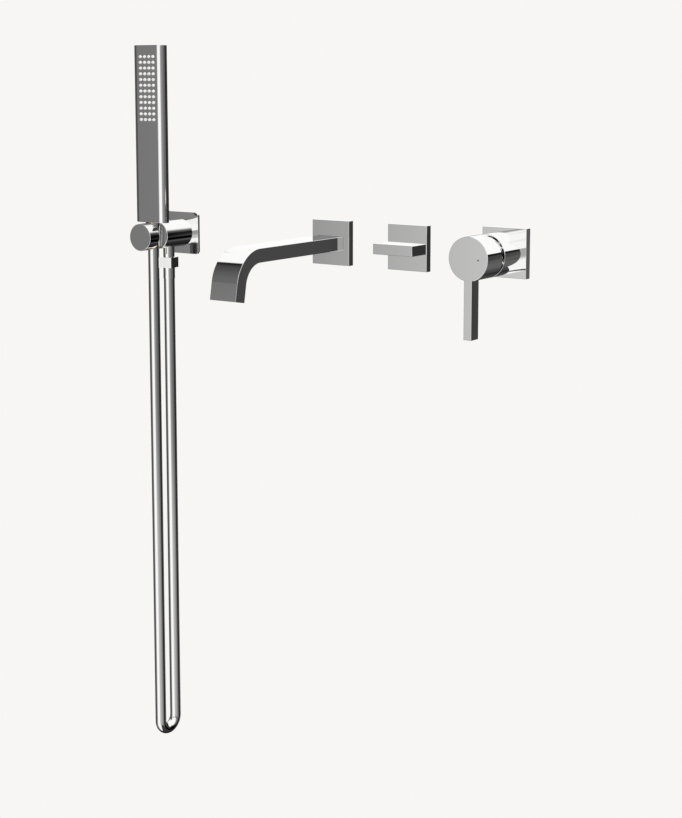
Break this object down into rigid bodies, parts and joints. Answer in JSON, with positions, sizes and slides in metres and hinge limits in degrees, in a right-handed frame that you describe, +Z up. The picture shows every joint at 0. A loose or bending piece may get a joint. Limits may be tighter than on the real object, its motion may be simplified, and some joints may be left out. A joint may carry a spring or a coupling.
{
  "type": "wall mounted bath faucet",
  "caption": "Wall mounted bath faucet set in chrome: bent flat spout, bar diverter knob, single-lever mixer, and stick hand shower in a wall outlet holder with hose.",
  "frame": {"origin": "centre of the spout mount on the wall face, on the axis of its G1/2 thread", "axes": "+Z up, +X to the right along the wall, +Y into the wall; the faucet stands out towards -Y"},
  "size_m": [0.5935, 0.2599, 1.0053],
  "materials": {
    "chrome": "mirror polished chrome plate over brass",
    "chrome_plastic": "mirror chrome plate over ABS",
    "brass": "machined brass",
    "steel": "stainless steel",
    "ceramic": "lapped alumina ceramic",
    "rubber": "black EPDM seal",
    "foam": "closed-cell foam gasket",
    "plastic_grey": "moulded acetal",
    "plastic_white": "moulded acetal",
    "silicone": "translucent white silicone",
    "dark_mark": "dark index mark",
    "hose_skin": "smooth metallised PVC hose skin"
  },
  "bodies": {
    "root": {"spout_plate": "chrome", "spout_body": "chrome", "spout_flow_insert": "plastic_grey", "spout_nipple": "brass", "spout_o_rings": "rubber", "plate_gaskets": "foam", "diverter_plate": "chrome", "diverter_housing": "brass", "diverter_fixed_disc": "ceramic", "diverter_seal": "rubber", "mixer_plate": "chrome", "mixer_gasket": "foam", "mixer_sleeve": "chrome", "mixer_dome": "chrome", "mixer_core": "brass", "mixer_port_rings": "rubber", "cartridge_housing": "plastic_white", "cartridge_base": "plastic_grey", "cartridge_fixed_disc": "ceramic", "cartridge_port_seals": "rubber", "cartridge_nut": "brass", "holder_plate": "chrome", "holder_gasket": "foam", "holder_nipple": "brass", "holder_body": "chrome", "holder_head": "chrome", "holder_front_cap": "chrome", "holder_seat_liner": "plastic_grey", "body_grub_screws": "steel", "outlet_tube": "chrome", "check_valve_body": "plastic_white", "check_valve_spring": "steel", "hose": "hose_skin", "hose_nut": "chrome", "hose_washer": "rubber", "hose_insert": "brass", "hose_ferrule": "chrome"},
    "diverter_knob": {"diverter_handle": "chrome", "diverter_grub_screw": "steel", "diverter_spindle": "brass", "diverter_o_ring": "rubber", "diverter_moving_disc": "ceramic"},
    "temperature_carrier": {"cartridge_guide": "plastic_grey", "cartridge_pin": "steel"},
    "lever": {"lever_handle": "chrome", "lever_grub_screw": "steel", "lever_index_dot": "dark_mark", "cartridge_stem": "brass"},
    "disc_carriage": {"cartridge_carriage": "plastic_grey", "cartridge_moving_disc": "ceramic"},
    "hose_end": {"hose_swivel_insert": "brass"},
    "handset": {"hose_cone_nut": "chrome", "handset_washer": "rubber", "handset_front": "chrome_plastic", "handset_back": "chrome_plastic", "nozzle_mat": "silicone", "spray_chamber": "plastic_grey", "handset_inlet": "brass"},
    "check_poppet": {"check_valve_poppet": "plastic_grey"}
  },
  "joints": [
    {"name": "diverter_turn", "type": "hinge", "parent": "root", "child": "diverter_knob", "pos_m": [0.122, 0, 0], "axis": [0, -1, 0], "range_deg": [-90, 0]},
    {"name": "temperature_turn", "type": "hinge", "parent": "root", "child": "temperature_carrier", "pos_m": [0.266, 0, 0.0025], "axis": [0, -1, 0], "range_deg": [-45, 45]},
    {"name": "lever_lift", "type": "hinge", "parent": "temperature_carrier", "child": "lever", "pos_m": [0.266, -0.04, 0.0025], "axis": [-1, 0, 0], "range_deg": [0, 18]},
    {"name": "carriage_slide", "type": "slide", "parent": "temperature_carrier", "child": "disc_carriage", "axis": [0, 0, -1], "range_m": [0, 0.0028]},
    {"name": "check_valve_lift", "type": "slide", "parent": "root", "child": "check_poppet", "axis": [0, 0, -1], "range_m": [0, 0.0025], "stiffness_N_per_m": 20, "springref_m": -0.001, "deforming": ["check_valve_spring"]},
    {"name": "handset_lift", "type": "slide", "parent": "root", "child": "hose_end", "axis": [0, 0, 1], "range_m": [0, 0.06]},
    {"name": "handset_swivel", "type": "hinge", "parent": "hose_end", "child": "handset", "pos_m": [-0.266, -0.0659, 0], "axis": [0, 0, 1], "range_deg": [-180, 180]}
  ],
  "couplings": [
    {"joint": "carriage_slide", "follows": "lever_lift", "m_per_rad": 0.0085}
  ]
}
